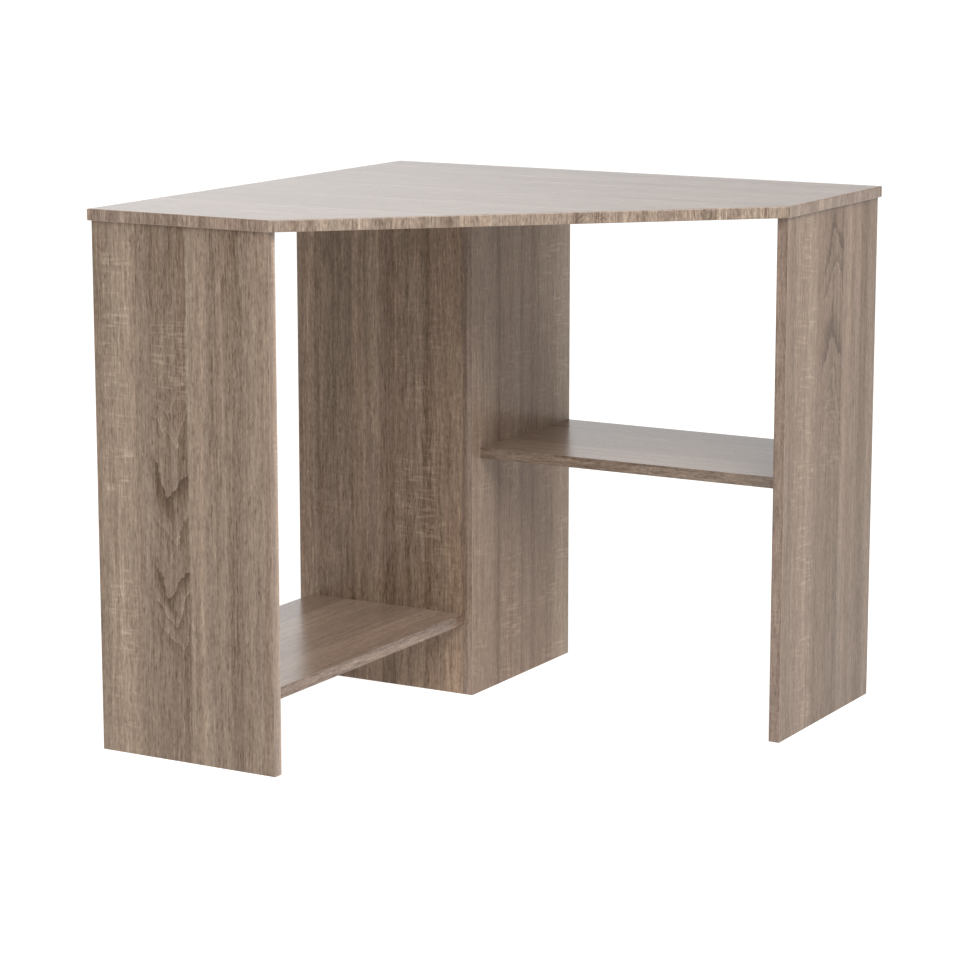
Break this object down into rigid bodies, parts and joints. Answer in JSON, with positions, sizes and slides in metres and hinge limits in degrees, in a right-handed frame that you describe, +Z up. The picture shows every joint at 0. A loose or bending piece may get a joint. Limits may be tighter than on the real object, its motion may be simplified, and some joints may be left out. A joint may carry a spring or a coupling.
{
  "type": "corner desk",
  "caption": "Corner desk in wood-grain board with a five-sided top, panel ends, a square corner column, a low shelf on one side and a higher shelf on the other.",
  "frame": {"origin": "on the floor under the middle of the desktop's box", "axes": "+Z up; +X along the right wall towards the right wing's end; +Y towards the right wall. The left wall is the low X side."},
  "size_m": [0.808, 0.808, 0.75],
  "materials": {
    "laminate": "wood-grain melamine, satin",
    "edge_band": "wood-grain ABS edge band, satin",
    "zinc": "die-cast zinc, dull",
    "plated_steel": "bright zinc plated steel",
    "beech": "raw beech"
  },
  "bodies": {
    "root": {"column_corner_bolts": "plated_steel", "column_corner_cams": "zinc", "column_corner_dowels": "beech", "desktop": "laminate", "desktop_band_diagonal": "edge_band", "desktop_band_left_end": "edge_band", "desktop_band_left_wall": "edge_band", "desktop_band_right_end": "edge_band", "desktop_band_right_wall": "edge_band", "left_end_panel": "laminate", "left_end_panel_band_back": "edge_band", "left_end_panel_band_front": "edge_band", "left_end_panel_top_bolts": "plated_steel", "left_end_panel_top_cams": "zinc", "left_end_panel_top_dowels": "beech", "left_inner_panel": "laminate", "left_inner_panel_band_back": "edge_band", "left_inner_panel_top_bolts": "plated_steel", "left_inner_panel_top_cams": "zinc", "left_inner_panel_top_dowels": "beech", "lower_shelf": "laminate", "lower_shelf_band_back": "edge_band", "lower_shelf_band_front": "edge_band", "lower_shelf_column_bolts": "plated_steel", "lower_shelf_column_cams": "zinc", "lower_shelf_column_dowels": "beech", "lower_shelf_end_bolts": "plated_steel", "lower_shelf_end_cams": "zinc", "lower_shelf_end_dowels": "beech", "right_end_panel": "laminate", "right_end_panel_band_back": "edge_band", "right_end_panel_band_front": "edge_band", "right_end_panel_top_bolts": "plated_steel", "right_end_panel_top_cams": "zinc", "right_end_panel_top_dowels": "beech", "right_inner_panel": "laminate", "right_inner_panel_band_back": "edge_band", "right_inner_panel_band_front": "edge_band", "right_inner_panel_top_bolts": "plated_steel", "right_inner_panel_top_cams": "zinc", "right_inner_panel_top_dowels": "beech", "upper_shelf": "laminate", "upper_shelf_band_back": "edge_band", "upper_shelf_band_front": "edge_band", "upper_shelf_column_bolts": "plated_steel", "upper_shelf_column_cams": "zinc", "upper_shelf_column_dowels": "beech", "upper_shelf_end_bolts": "plated_steel", "upper_shelf_end_cams": "zinc", "upper_shelf_end_dowels": "beech"}
  },
  "joints": []
}
